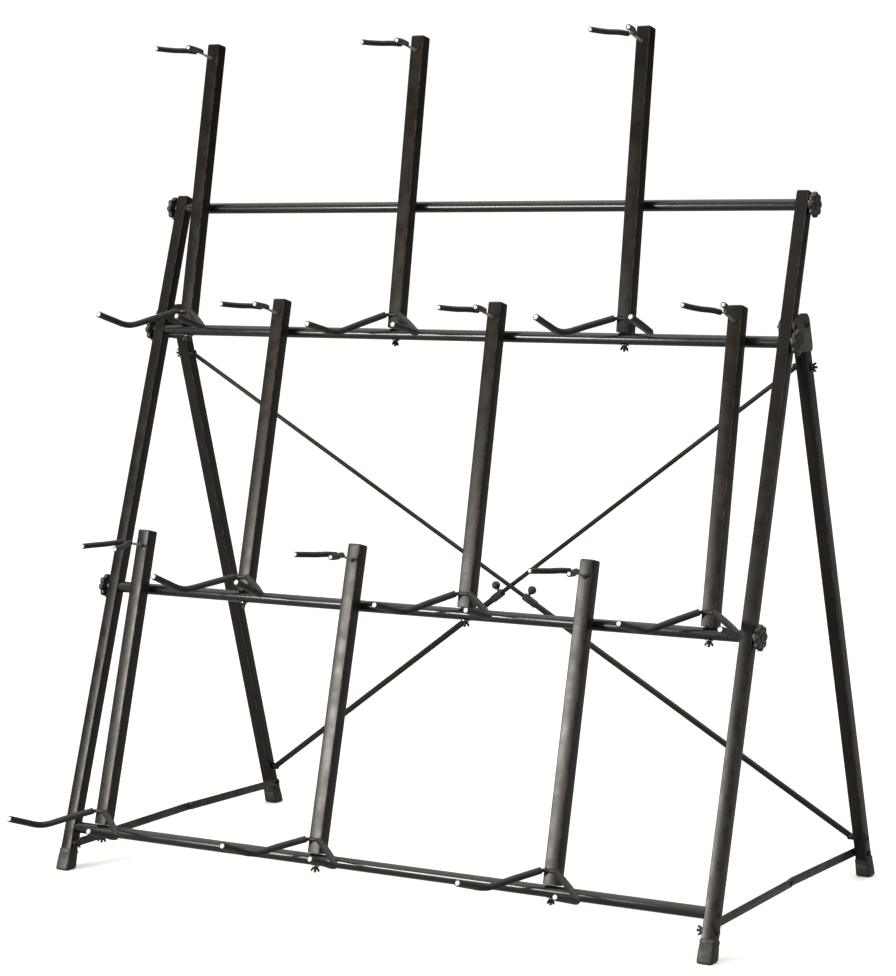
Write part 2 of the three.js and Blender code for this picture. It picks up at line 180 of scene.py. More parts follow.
def painted_steel(name, dark, light, rough, peel=0.25):
    """Black powder coat: orange peel, soft smudges, and corners painted a little brighter, partly as rubbed
    paint and partly as a painted highlight along the edges.
    """
    made, tree, shader = new_material(name, {
        "Specular IOR Level": 0.22, "Coat Weight": 0.04, "Coat Roughness": 0.2})
    tone = blend_colours(tree, spread(tree, noise(tree, 9, 4), 0, 1), dark, light)
    # Corners painted lighter: partly rubbed paint, partly a painted highlight along the tube edges.
    corner = add_node(tree, "ShaderNodeAttribute", attribute_name="corner").outputs["Fac"]
    rubbed_and_highlit = multiply(tree, corner, spread(tree, noise(tree, 55, 5), 0.15, 0.85, 0.42, 0.7))
    worn_and_highlit = blend_colours(tree, rubbed_and_highlit, tone, (0.07, 0.06, 0.052))
    tree.links.new(worn_and_highlit, shader.inputs["Base Color"])
    tree.links.new(spread(tree, noise(tree, 30, 5), rough - 0.06, rough + 0.07), shader.inputs["Roughness"])
    add_bump(tree, shader, [
        (noise(tree, 420, 2), 0.00012, peel),
        (noise(tree, 60, 2), 0.0002, 0.08),
    ])
    return made


def gloss_steel():
    """The round crossbars: a smoother, glossier black enamel with faint lengthwise handling marks."""
    made, tree, shader = new_material("gloss_black_enamel", {
        "Specular IOR Level": 0.35, "Coat Weight": 0.15, "Coat Roughness": 0.08})
    tone = blend_colours(tree, noise(tree, 7, 4), (0.006, 0.0055, 0.005), (0.014, 0.0125, 0.011))
    tree.links.new(tone, shader.inputs["Base Color"])
    smears = noise(tree, 26, 5, (0.15, 1, 1))
    tree.links.new(spread(tree, smears, 0.15, 0.27), shader.inputs["Roughness"])
    add_bump(tree, shader, [(noise(tree, 300, 2), 0.00006, 0.15)])
    return made


def bare_steel(name, dark, light, rough, metallic, grain=(1, 1, 1)):
    """Plated or phosphated steel with rolling grain and stains."""
    made, tree, shader = new_material(name, {"Metallic": metallic})
    stain = blend_colours(tree, spread(tree, noise(tree, 38, 6), 0, 1), dark, light)
    tree.links.new(stain, shader.inputs["Base Color"])
    streaks = noise(tree, 500, 3, grain)
    tree.links.new(spread(tree, streaks, rough - 0.08, rough + 0.1), shader.inputs["Roughness"])
    add_bump(tree, shader, [(streaks, 0.00008, 0.25), (noise(tree, 90, 3), 0.0001, 0.15)])
    return made


def foam_skin():
    """Closed-cell foam sleeve: fine cells, soft creases and a dull sheen."""
    made, tree, shader = new_material("foam_sleeve", {
        "Specular IOR Level": 0.3, "Sheen Weight": 0.04, "Sheen Roughness": 0.5,
        "Coat Weight": 0.08, "Coat Roughness": 0.34})
    tone = blend_colours(tree, spread(tree, noise(tree, 60, 4), 0, 1),
                         (0.006, 0.0053, 0.0046), (0.013, 0.0115, 0.010))
    tree.links.new(tone, shader.inputs["Base Color"])
    tree.links.new(spread(tree, noise(tree, 140, 4), 0.42, 0.6), shader.inputs["Roughness"])
    cells = add_node(tree, "ShaderNodeTexVoronoi", {"Vector": place_at(tree), "Scale": 1500.0})
    add_bump(tree, shader, [
        (cells.outputs["Distance"], 0.0002, 0.35),
        (noise(tree, 130, 3), 0.0004, 0.25),
    ])
    return made


def moulded(name, dark, light, rough, cell=900.0, depth=0.0001):
    """Moulded rubber or plastic with a fine spark-eroded texture."""
    made, tree, shader = new_material(name, {})
    tone = blend_colours(tree, spread(tree, noise(tree, 45, 4), 0, 1), dark, light)
    tree.links.new(tone, shader.inputs["Base Color"])
    tree.links.new(spread(tree, noise(tree, 160, 4), rough - 0.07, rough + 0.09), shader.inputs["Roughness"])
    add_bump(tree, shader, [(noise(tree, cell, 2), depth, 0.3), (noise(tree, 70, 2), 0.0003, 0.12)])
    return made


def pale_floor():
    """Plain white paper to look at, that throws only some of its light back onto the rack."""
    made, tree, shader = new_material("pale_floor", {"Specular IOR Level": 0.1})
    paper = blend_colours(tree, noise(tree, 1.2, 4), (0.86, 0.858, 0.85), (0.90, 0.898, 0.892))
    seen = add_node(tree, "ShaderNodeLightPath").outputs["Is Camera Ray"]
    tone = blend_colours(tree, seen, (0.3, 0.3, 0.3), paper)
    tree.links.new(tone, shader.inputs["Base Color"])
    tree.links.new(spread(tree, noise(tree, 5, 4), 0.55, 0.7), shader.inputs["Roughness"])
    return made


FRAME_PAINT = painted_steel("frame_powder_coat", (0.0052, 0.0038, 0.0028), (0.0105, 0.0078, 0.0058), 0.28)
HOLDER_PAINT = painted_steel("holder_powder_coat", (0.0065, 0.0046, 0.0034), (0.013, 0.0094, 0.0068), 0.3)
BRACE_PAINT = painted_steel("brace_paint", (0.009, 0.0068, 0.0054), (0.019, 0.0145, 0.0115), 0.38, 0.15)
GLOSS = gloss_steel()
BRIGHT = bare_steel("zinc_plated_steel", (0.42, 0.41, 0.39), (0.62, 0.61, 0.58), 0.3, 1.0)
DARK_STEEL = bare_steel("phosphated_steel", (0.05, 0.041, 0.034), (0.082, 0.068, 0.057), 0.42, 0.7,
                        (0.1, 0.1, 1))
FORK_STEEL = bare_steel("worn_fork_steel", (0.42, 0.40, 0.37), (0.62, 0.59, 0.55), 0.4, 0.8)
BLACK_BOLT = bare_steel("blackened_steel", (0.02, 0.018, 0.016), (0.05, 0.045, 0.04), 0.36, 0.8)
FOAM = foam_skin()
RUBBER = moulded("boot_rubber", (0.010, 0.0086, 0.0074), (0.019, 0.0166, 0.0145), 0.5)
KNOB = moulded("knob_plastic", (0.009, 0.0074, 0.0062), (0.018, 0.015, 0.0128), 0.4)
CAP = moulded("cap_plastic", (0.008, 0.0066, 0.0056), (0.015, 0.0125, 0.0106), 0.42)
WHITE = moulded("white_plug_plastic", (0.74, 0.73, 0.71), (0.84, 0.83, 0.81), 0.35, 700.0, 0.00006)


# ---- mesh helpers ----
def circle(radius, sides):
    return [(radius * math.cos(math.tau * i / sides), radius * math.sin(math.tau * i / sides))
            for i in range(sides)]


def rounded_square(side, corner, steps=4):
    """A square section with round corners, and for each point whether it lies on a corner's bend."""
    h = side / 2 - corner
    points = []
    bends = []
    for quarter, (sx, sy) in enumerate([(1, 1), (-1, 1), (-1, -1), (1, -1)]):
        for i in range(steps + 1):
            turn = math.pi / 2 * (quarter + i / steps)
            points.append((sx * h + corner * math.cos(turn), sy * h + corner * math.sin(turn)))
            bends.append(0.0 if i in (0, steps) else 1.0)
    return points, bends


def loft(rings, bends=None):
    """A closed mesh through rings of equally many points; the first and the last ring are filled."""
    bm = bmesh.new()
    layer = bm.verts.layers.float.new("corner")
    rows = [[bm.verts.new(point) for point in ring] for ring in rings]
    if bends:
        for row in rows:
            for vert, bend in zip(row, bends):
                vert[layer] = bend
    for low, high in zip(rows, rows[1:]):
        for i, vert in enumerate(low):
            j = (i + 1) % len(low)
            bm.faces.new((vert, low[j], high[j], high[i]))
    bm.faces.new(list(reversed(rows[0])))
    bm.faces.new(rows[-1])
    return bm


def revolve(profile, sides=24):
    """A solid of revolution about Z from (radius, height) points, bottom to top."""
    return loft([[(x, y, height) for x, y in circle(max(radius, 0.02 * MM), sides)]
                 for radius, height in profile])


def plate(outline, low, high, edge=0.4 * MM):
    """A flat plate on the XY plane with softened rims."""
    bm = loft([[(x, y, height) for x, y in outline] for height in (low, high)])
    rim = [e for e in bm.edges if abs(e.verts[0].co.z - e.verts[1].co.z) < 1e-7]
    bmesh.ops.bevel(bm, geom=rim, offset=edge, segments=2, profile=0.6, affect="EDGES", clamp_overlap=True)
    return bm


def rounded_outline(points, radius, steps=4):
    """An outline with each corner turned into a short curve."""
    corners = [Vector(p) for p in points]
    result = []
    for i, corner in enumerate(corners):
        before = corners[i - 1] - corner
        after = corners[(i + 1) % len(corners)] - corner
        start = corner + before.normalized() * min(radius, before.length * 0.45)
        end = corner + after.normalized() * min(radius, after.length * 0.45)
        for k in range(steps + 1):
            t = k / steps
            result.append(tuple(start * (1 - t) ** 2 + corner * 2 * t * (1 - t) + end * t ** 2))
    return result


def spline(points, steps=8):
    """Points along the centripetal Catmull-Rom curve through the given ones."""
    padded = [points[0] * 2 - points[1], *points, points[-1] * 2 - points[-2]]
    result = []
    for a, b, c, d in zip(padded, padded[1:], padded[2:], padded[3:]):
        knots = [0.0]
        for p, q in ((a, b), (b, c), (c, d)):
            knots.append(knots[-1] + math.sqrt((q - p).length))
        k0, k1, k2, k3 = knots
        for i in range(steps):
            u = k1 + (k2 - k1) * i / steps
            ab = a.lerp(b, (u - k0) / (k1 - k0))
            bc = b.lerp(c, (u - k1) / (k2 - k1))
            cd = c.lerp(d, (u - k2) / (k3 - k2))
            abc = ab.lerp(bc, (u - k0) / (k2 - k0))
            bcd = bc.lerp(cd, (u - k1) / (k3 - k1))
            result.append(abc.lerp(bcd, (u - k1) / (k2 - k1)))
    result.append(points[-1].copy())
    return result


def sweep(path, radius, sides=16, edge=0.0):
    """A round rod along a path, its two ends rounded over by edge."""
    points = list(path)
    radii = [radius] * len(points)
    if edge:
        first = (points[1] - points[0]).normalized()
        last = (points[-1] - points[-2]).normalized()
        shares = (0.0, 0.3, 0.65, 1.0)
        lead = [points[0] + first * edge * share for share in shares]
        tail = [points[-1] - last * edge * share for share in reversed(shares)]
        cut = [radius - edge * (1 - math.sqrt(1 - (1 - share) ** 2)) for share in shares]
        points = lead + points[1:-1] + tail
        radii = cut + radii[1:-1] + list(reversed(cut))
    rings = []
    heading = (points[1] - points[0]).normalized()
    normal = heading.orthogonal().normalized()
    for i, point in enumerate(points):
        ahead = (points[min(i + 1, len(points) - 1)] - points[max(i - 1, 0)]).normalized()
        normal = (heading.rotation_difference(ahead) @ normal).normalized()
        heading = ahead
        across = heading.cross(normal)
        rings.append([point + x * normal + y * across for x, y in circle(radii[i], sides)])
    return loft(rings)


def joined(*parts):
    """One mesh holding several closed shells."""
    whole = bmesh.new()
    whole.verts.layers.float.new("corner")
    for part in parts:
        scratch = bpy.data.meshes.new("scratch")
        part.to_mesh(scratch)
        part.free()
        whole.from_mesh(scratch)
        bpy.data.meshes.remove(scratch)
    return whole


def moved(bm, matrix):
    bm.transform(matrix)
    return bm


def piece(name, bm, material, body, slot, stands_for=None, sharp=38):
    """Makes an object of a mesh, smooth except at its sharp edges, that rides on a body."""
    bmesh.ops.recalc_face_normals(bm, faces=bm.faces)
    mesh = bpy.data.meshes.new(name)
    bm.to_mesh(mesh)
    bm.free()
    mesh.shade_smooth()
    mesh.set_sharp_from_angle(angle=math.radians(sharp))
    mesh.materials.append(material)
    made = bpy.data.objects.new(name, mesh)
    bpy.context.scene.collection.objects.link(made)
    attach(made, body)
    if stands_for:
        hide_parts(stands_for)
    return made


# ---- places ----
def on_post(along):
    return FRONT_FOOT_Y + along * math.sin(POST_LEAN), along * math.cos(POST_LEAN)


def on_leg(height):
    return REAR_FOOT_Y - height * math.tan(LEG_LEAN), height


def leaning(angle, x, y, z):
    """A frame at a point, its Z axis tipped back by an angle."""
    return Matrix.Translation((x, y, z)) @ Matrix.Rotation(-angle, 4, "X")


def along_x(side, outwards, at, axis=GAUGE / 2):
    """Stands something on a side frame's plane: its Z axis points away from the rack on that side.

    outwards is how far from the tube's axis it stands, and negative is towards the middle of the rack."""
    y, z = at
    return Matrix.Translation((side * (axis + outwards), y, z)) @ Matrix.Rotation(side * math.pi / 2, 4, "Y")


def inwards_x(side, inwards, at):
    """As along_x, but pointing to the middle of the rack, and standing that far inside the tube's axis."""
    y, z = at
    return (Matrix.Translation((side * (GAUGE / 2 - inwards), y, z))
            @ Matrix.Rotation(-side * math.pi / 2, 4, "Y"))


# ---- fasteners, all standing on the XY plane ----
def hex_head(radius, height):
    ring = circle(radius, 6)
    profile = [(0.96, 0.0), (1.0, 0.04), (1.0, 0.78), (0.93, 0.93), (0.84, 1.0)]
    return loft([[(x * scale, y * scale, height * share) for x, y in ring] for scale, share in profile])


def bolt_end(radius, low, high, sides=16):
    """A length of bolt with a chamfered end."""
    return revolve([(radius, low), (radius, high - 0.7 * MM), (radius * 0.8, high)], sides)


def hex_nut(radius, height, bolt_r):
    """A nut with the end of its bolt standing a little proud."""
    return joined(hex_head(radius, height), bolt_end(bolt_r, height * 0.5, height + 2.3 * MM))


def round_head(radius, height):
    """A button head with a small recess."""
    profile = [(radius, 0.0), (radius, 0.25 * height)]
    for i in range(1, 6):
        turn = math.pi / 2 * i / 6
        profile.append((radius * math.cos(turn), height * (0.25 + 0.75 * math.sin(turn))))
    profile += [(radius * 0.24, height), (radius * 0.2, height * 0.62), (0, height * 0.6)]
    return revolve(profile, 24)


def washer(radius, thickness):
    soft = 0.25 * thickness
    return revolve([
        (radius - soft, 0), (radius, soft), (radius, thickness - soft), (radius - soft, thickness)], 32)


def wing_nut():
    """A cast wing nut: a waisted hub, two raised wings along X, and the end of its bolt."""
    half = [(3.0, 0), (4.6, 0.4), (7.4, 3.2), (10.2, 7.0), (10.3, 9.4), (8.9, 11.3), (6.8, 10.8),
            (5.0, 8.0), (3.6, 5.6)]
    outline = [(x * MM, y * MM) for x, y in half] + [(-x * MM, y * MM) for x, y in reversed(half)]
    wings = plate(rounded_outline(outline, 1.3 * MM, 3), -1.2 * MM, 1.2 * MM, 0.8 * MM)
    wings.transform(Matrix.Rotation(math.pi / 2, 4, "X"))
    hub = revolve([(r * MM, h * MM) for r, h in [
        (5.1, 0), (5.4, 0.4), (5.4, 1.4), (4.6, 2.6), (4.3, 5.2), (3.9, 5.9), (3.0, 5.9)]], 24)
    bolt = revolve([(r * MM, h * MM) for r, h in [(2.9, 4.0), (2.9, 12.3), (2.4, 12.9)]], 18)
    return joined(wings, hub, bolt)


# ---- side frames ----
def square_tube(side, corner, low, high, matrix):
    """A square tube with bent corners and slightly broken ends."""
    soft = 0.4 * MM
    rings = []
    for height, inset in ((low, soft), (low + soft, 0), (high - soft, 0), (high, soft)):
        points, bends = rounded_square(side - 2 * inset, corner)
        rings.append([(x, y, height) for x, y in points])
    return moved(loft(rings, bends), matrix)


def domed_cap(side, low, high, matrix):
    """A moulded end cap whose top edge is rolled over."""
    height = high - low
    rings = []
    for share, inset in ((0.0, 0.0), (0.45, 0.0), (0.75, 0.6), (0.92, 1.9), (1.0, 4.2)):
        points, _ = rounded_square(side - 2 * inset * MM, 3 * MM)
        rings.append([(x, y, low + share * height) for x, y in points])
    return moved(loft(rings), matrix)


def boot(lean, matrix):
    """A rubber boot: flat sole on the floor, rolled lower edge, a shallow groove and a rolled lip."""
    slope = math.tan(lean)
    rings = []
    for lift, inset in ((0.0, 3.4), (0.5, 2.0), (1.6, 0.8), (3.6, 0.15), (6.5, 0.0)):
        points, _ = rounded_square(BOOT_SIDE - 2 * inset * MM, 5 * MM)
        rings.append([(x, y, y * slope + lift * MM) for x, y in points])
    for below, inset in ((29.0, 0.2), (11.5, 0.9), (10.7, 1.5), (9.0, 1.5), (8.2, 0.8), (2.4, 0.7),
                         (0.8, 1.2), (0.1, 2.4)):
        points, _ = rounded_square(BOOT_SIDE - 2 * inset * MM, 4.5 * MM)
        rings.append([(x, y, BOOT_HEIGHT - below * MM) for x, y in points])
    return moved(loft(rings), matrix)


def hinge_outline():
    """The bracket that carries a rear leg, as (y, z) points."""
    bolt_y, bolt_z = on_post(HINGE_BOLT_AT)
    top = HINGE_AT + 24 * MM
    low = HINGE_AT - 57 * MM
    shelf = bolt_z - 14 * MM
    margin = FACE / math.cos(LEG_LEAN) + PLATE
    front = on_post(BAR_AT["upper"])[0] + 16 * MM

    def rear(height):
        return on_leg(height)[0] + margin

    return [
        (bolt_y - 11 * MM, shelf),
        (front, shelf),
        (front, low),
        (rear(low) - 8 * MM, low),
        (rear(low + 8 * MM), low + 8 * MM),
        (rear(top - 10 * MM), top - 10 * MM),
        (rear(top) - 9 * MM, top),
        (bolt_y + 24 * MM, top),
        (bolt_y - 7 * MM, bolt_z + 12 * MM),
        (bolt_y - 11 * MM, bolt_z + 8 * MM),
    ]


def plate_x(outline, side, start, end):
    """A plate in a side frame's plane, between two distances outwards from the tube's axis."""
    xs = sorted((side * (GAUGE / 2 + start), side * (GAUGE / 2 + end)))
    bm = plate(outline, xs[0], xs[1])
    # (x, y, z) of the plate become (z, x, y): the outline lies in the YZ plane
    return moved(bm, Matrix(((0, 0, 1, 0), (1, 0, 0, 0), (0, 1, 0, 0), (0, 0, 0, 1))))


HINGE = on_leg(HINGE_AT)
HINGE_BOLT = on_post(HINGE_BOLT_AT)
STAY_POST = on_post(STAY_POST_AT)
STAY_LEG = on_leg(STAY_LEG_HEIGHT)


def side_frame(name, side):
    post_at = leaning(POST_LEAN, side * GAUGE / 2, FRONT_FOOT_Y, 0)
    leg_at = leaning(-LEG_LEAN, side * GAUGE / 2, REAR_FOOT_Y, 0)
    leg_top = HINGE_AT / math.cos(LEG_LEAN) + 13.8 * MM
    front = {"body": "front_frame", "stands_for": f"post_{name}"}
    rear = {"body": "rear_frame", "stands_for": f"rear_leg_{name}"}

    piece(f"post_tube_{name}", square_tube(POST_SIDE, 2.6 * MM, TUBE_START, POST_TOP, post_at),
          FRAME_PAINT, slot="painted_tube", **front)
    piece(f"post_cap_{name}", domed_cap(POST_SIDE - 1 * MM, POST_TOP, POST_TOP + 3 * MM, post_at),
          CAP, slot="knob_plastic", **front)
    piece(f"leg_tube_{name}", square_tube(POST_SIDE, 2.6 * MM, TUBE_START, leg_top, leg_at),
          FRAME_PAINT, slot="painted_tube", **rear)
    piece(f"rubber_boot_front_{name}", boot(POST_LEAN, post_at), RUBBER, "front_frame", "rubber",
          f"boot_front_{name}")
    piece(f"rubber_boot_rear_{name}", boot(-LEG_LEAN, leg_at), RUBBER, "rear_frame", "rubber",
          f"boot_rear_{name}")

    outline = rounded_outline(hinge_outline(), 9 * MM, 5)
    piece(f"hinge_plate_outer_{name}", plate_x(outline, side, PLATE_IN, PLATE_OUT),
          DARK_STEEL, slot="flat_steel", **front)
    piece(f"hinge_plate_inner_{name}", plate_x(outline, side, -PLATE_OUT, -PLATE_IN),
          DARK_STEEL, slot="flat_steel", **front)

    pin = revolve([(PIN_R, -2 * PLATE_OUT), (PIN_R, 0)], 20)
    pins = joined(*(moved(pin.copy(), along_x(side, PLATE_OUT, at)) for at in (HINGE, HINGE_BOLT)))
    pin.free()
    piece(f"hinge_pins_{name}", pins, BRIGHT, slot="flat_steel", **front)
    heads = [
        moved(round_head(8 * MM, 4.8 * MM), along_x(side, PLATE_OUT, HINGE)),
        moved(round_head(7 * MM, 2.1 * MM), along_x(side, PLATE_OUT, HINGE_BOLT)),
        moved(hex_nut(7.8 * MM, 4 * MM, 4 * MM), inwards_x(side, PLATE_OUT, HINGE)),
        moved(hex_nut(6.8 * MM, 4 * MM, 3.5 * MM), inwards_x(side, PLATE_OUT, HINGE_BOLT)),
    ]
    piece(f"hinge_bolts_{name}", joined(*heads), BLACK_BOLT, slot="flat_steel", **front)

    screws = [
        moved(round_head(6 * MM, 2.9 * MM), along_x(side, FACE, on_post(BAR_AT["bottom"]))),
        moved(hex_head(6.8 * MM, 3.8 * MM), along_x(side, FACE, STAY_POST)),
        moved(revolve([(PIN_R, 0), (PIN_R, 9 * MM), (PIN_R - 0.8 * MM, 9.8 * MM)], 16),
              inwards_x(side, FACE, STAY_POST)),
    ]
    piece(f"post_screws_{name}", joined(*screws), BLACK_BOLT, slot="flat_steel", **front)
    piece(f"stay_wing_nut_{name}", moved(wing_nut(), inwards_x(side, PLATE_OUT + GAP, STAY_POST)),
          BLACK_BOLT, slot="flat_steel", **front)

    high = brace_line(side)["high"]
    low = brace_line(-side)["low"]
    leg_bolts = [
        moved(washer(7.8 * MM, REAR_IN - FACE - 0.1 * MM), inwards_x(side, FACE, STAY_LEG)),
        moved(revolve([(PIN_R, 0), (PIN_R, REAR_OUT - FACE + 1 * MM)], 16), inwards_x(side, FACE, STAY_LEG)),
        moved(hex_nut(6.8 * MM, 3.2 * MM, 3 * MM), inwards_x(side, REAR_OUT + GAP, STAY_LEG)),
        moved(hex_head(6.8 * MM, 3.8 * MM), along_x(side, FACE, STAY_LEG)),
        moved(hex_nut(7.8 * MM, 5 * MM, 3.5 * MM), along_x(side, FACE, (low.y, low.z))),
    ]
    piece(f"leg_bolts_{name}", joined(*leg_bolts), BLACK_BOLT, slot="flat_steel", **rear)
    piece(f"brace_wing_nut_{name}", moved(wing_nut(), along_x(side, FACE - 0.6 * MM, (high.y, high.z))),
          BLACK_BOLT, slot="flat_steel", **rear)


# ---- crossbars ----
def crossbar(name):
    half = GAUGE / 2 - FACE - GAP
    soft = 0.5 * MM
    y, z = on_post(BAR_AT[name])
    profile = [(BAR_R - soft, -half), (BAR_R, soft - half), (BAR_R, half - soft), (BAR_R - soft, half)]
    lie = Matrix.Translation((0, y, z)) @ Matrix.Rotation(math.pi / 2, 4, "Y")
    piece(f"crossbar_{name}", moved(revolve(profile, 40), lie), GLOSS, "front_frame", "gloss_bar",
          f"bar_{name}")


# ---- star knobs ----
def star_ring(radius, height, sides=96):
    """One level of the star: round lobes with narrower, round hollows."""
    ring = []
    for i in range(sides):
        turn = math.tau * i / sides
        wave = 0.5 + 0.5 * math.cos(KNOB_LOBES * turn)
        reach = radius - 5.2 * MM * (1 - wave ** 0.55)
        ring.append((reach * math.cos(turn), reach * math.sin(turn), height))
    return ring


def star_knob(bar, name, side):
    """A moulded eight-lobed clamping knob on its washer, with a capped middle."""
    label = f"knob_{bar}_{name}"
    at = along_x(side, FACE + GAP, on_post(BAR_AT[bar]))
    lobes = [(3.2, 6.0), (1.2, 6.5), (0.3, 7.6), (0.0, 9.0),
             (0.0, 13.6), (0.4, 15.2), (1.3, 16.2), (3.0, 16.9)]
    dish = [(12.5, 16.9), (11.8, 16.2), (10, 15.6)]
    rings = [star_ring(KNOB_R - inset * MM, height * MM) for inset, height in lobes]
    rings += [[(x, y, height * MM) for x, y in circle(radius * MM, 96)] for radius, height in dish]
    body = loft(rings)
    hub = revolve([(r * MM, h * MM) for r, h in [(8.6, 1.9), (9.0, 2.4), (9.0, 5.4), (11.0, 6.4)]], 32)
    cap = revolve([(r * MM, h * MM) for r, h in [
        (8.4, 15.2), (8.4, 16.3), (7.8, 16.7), (4.0, 16.9), (0, 16.95)]], 32)
    piece(f"{label}_grip", moved(joined(body, hub), at), KNOB, label, "knob_plastic", label)
    piece(f"{label}_cap", moved(cap, at), CAP, label, "knob_plastic", label)
    piece(f"{label}_washer", moved(washer(12 * MM, 1.9 * MM), at), BRIGHT, label, "knob_plastic", label)


# ---- crossed braces ----
LEG_BACK = Vector((0, math.cos(LEG_LEAN), math.sin(LEG_LEAN)))


def brace_line(side):
    """A brace that starts high on the frame of that side: its ends and directions."""
    inner = GAUGE / 2 - FACE - GAP - 7 * MM
    offset = LEG_BACK * (side * (BRACE_ROD_R + 1 * MM))
    high = Vector((side * inner, *on_leg(BRACE_TOP))) + offset
    low = Vector((-side * inner, *on_leg(BRACE_LOW))) + offset
    along = (low - high).normalized()
    up = (Vector((0, 0, 1)) - along * along.z).normalized()
    return {"high": high, "low": low, "along": along, "up": up}


def brace(name, side):
    line = brace_line(side)
    high, low, along, up = (line[key] for key in ("high", "low", "along", "up"))
    split = high.lerp(low, BRACE_SPLIT)
    collar_end = split + along * COLLAR_LENGTH
    label = f"brace_from_{name}"
    rides = {"body": "rear_frame", "stands_for": label}
    turn = Vector((0, 0, 1)).rotation_difference(along).to_matrix().to_4x4()

    eye_profile = [(6.6 * MM, 0), (7.6 * MM, 0.8 * MM), (7.6 * MM, 13 * MM), (6.4 * MM, 13.9 * MM)]
    eyes = []
    for end, at_side in ((high, side), (low, -side)):
        eyes.append(moved(revolve(eye_profile, 28), inwards_x(at_side, FACE + GAP, (end.y, end.z))))
    piece(f"{label}_eyes", joined(*eyes), BRACE_PAINT, slot="brace_rod", **rides)
    piece(f"{label}_rod", sweep([high, collar_end], BRACE_ROD_R, 20), BRACE_PAINT, slot="brace_rod", **rides)
    piece(f"{label}_tube", sweep([collar_end - along * 3 * MM, low], BRACE_TUBE_R, 24, 0.6 * MM),
          BRACE_PAINT, slot="brace_rod", **rides)

    mouth = [(5.3 * MM, 0.0), (7.6 * MM, 0.2 * MM)]
    rim = [(8.7 * MM, 1.0 * MM), (8.9 * MM, 2.2 * MM)]
    far_rim = [(radius, COLLAR_LENGTH - height) for radius, height in reversed(rim)]
    collar = revolve([*mouth, *rim, *far_rim, (7.6 * MM, COLLAR_LENGTH)], 32)
    piece(f"{label}_collar", moved(collar, Matrix.Translation(split) @ turn), KNOB, slot="brace_rod", **rides)

    ball = [(3.4 * MM, 0.0), (3.4 * MM, 4.6 * MM)]
    centre = 15 * MM
    for i in range(1, 13):
        angle = math.radians(158) * (1 - i / 12)
        ball.append(((BALL_R - 0.1 * MM) * math.sin(angle), centre + (BALL_R - 0.1 * MM) * math.cos(angle)))
    foot = split + along * 9 * MM + up * (COLLAR_R - 1 * MM)
    stand = Vector((0, 0, 1)).rotation_difference(up).to_matrix().to_4x4()
    piece(f"{label}_thumb_knob", moved(revolve(ball, 32), Matrix.Translation(foot) @ stand),
          KNOB, slot="brace_rod", **rides)


# ---- folding stays ----
def stay_middle():
    start, end = Vector(STAY_POST), Vector(STAY_LEG)
    return tuple(start + (end - start).normalized() * STAY_FRONT + Vector((0, STAY_RISE)))


def strap(start, end):
    """A strap with round ends, as (y, z) points."""
    half = STAY_WIDTH / 2
    heading = math.atan2(end[1] - start[1], end[0] - start[0])
    points = []
    for centre, begin in ((end, -math.pi / 2), (start, math.pi / 2)):
        for i in range(13):
            turn = heading + begin + math.pi * i / 12
            points.append((centre[0] + half * math.cos(turn), centre[1] + half * math.sin(turn)))
    return points


def stays(name, side):
    middle = stay_middle()
    front, rear = f"stay_front_{name}", f"stay_rear_{name}"
    piece(f"{front}_strap", plate_x(strap(STAY_POST, middle), side, -PLATE_OUT, -PLATE_IN),
          DARK_STEEL, front, "flat_steel", front)
    piece(f"{rear}_strap", plate_x(strap(STAY_LEG, middle), side, -REAR_OUT, -REAR_IN),
          DARK_STEEL, rear, "flat_steel", rear)
    rivet = 6.8 * MM
    piece(f"{front}_rivet", moved(round_head(rivet, 2.8 * MM), along_x(side, -PLATE_IN, middle)),
          BLACK_BOLT, front, "flat_steel", front)
    piece(f"{rear}_rivet", moved(round_head(rivet, 3.8 * MM), inwards_x(side, REAR_OUT, middle)),
          BLACK_BOLT, rear, "flat_steel", rear)


# ---- guitar holders ----
# A holder's own frame: origin on the axis of the bar it stands on, Z up the upright, -Y forward.
REST_OFFSET = BAR_R + REST_PAD + UPRIGHT_SIDE / 2


def tier_frame(foot, rest):
    """Where a tier's uprights stand, how far they lean back, and where their backs meet the upper bar."""
    y0, z0 = on_post(BAR_AT[foot])
    y1, z1 = on_post(BAR_AT[rest])
    reach = math.hypot(y1 - y0, z1 - z0)
    return y0, z0, POST_LEAN - math.asin(REST_OFFSET / reach), math.sqrt(reach ** 2 - REST_OFFSET ** 2)


def millimetres(*points):
    return [Vector(p) * MM for p in points]


def upright(label, at, rest_at):
    node = f"upright_{label}"
    low = BAR_R + 2 * GAP
    top = low + UPRIGHT_LENGTH
    rides = {"body": "front_frame", "stands_for": node}
    piece(f"{node}_tube", square_tube(UPRIGHT_SIDE, 3 * MM, low + 1.5 * MM, top - 3.5 * MM, at),
          HOLDER_PAINT, slot="painted_tube", **rides)
    piece(f"{node}_cap", domed_cap(UPRIGHT_SIDE - 0.6 * MM, top - 3.5 * MM, top, at),
          CAP, slot="painted_tube", **rides)
    foot = at @ Matrix.Translation((0, 0, low + 1.5 * MM)) @ Matrix.Rotation(math.pi, 4, "X")
    piece(f"{node}_foot_plug", domed_cap(UPRIGHT_SIDE - 0.6 * MM, 0, 1.5 * MM, foot),
          CAP, slot="painted_tube", **rides)
    depth = REST_PAD - GAP
    block = []
    for height, inset in ((-10, 1.0), (-9.4, 0.3), (-8.6, 0), (8.6, 0), (9.4, 0.3), (10, 1.0)):
        points, _ = rounded_square(22 * MM - 2 * inset * MM, 2 * MM)
        middle = UPRIGHT_SIDE / 2 + depth / 2
        block.append([(x, middle + y * depth / (22 * MM), rest_at + height * MM) for x, y in points])
    piece(f"{node}_rest_block", moved(loft(block), at), CAP, slot="painted_tube", **rides)


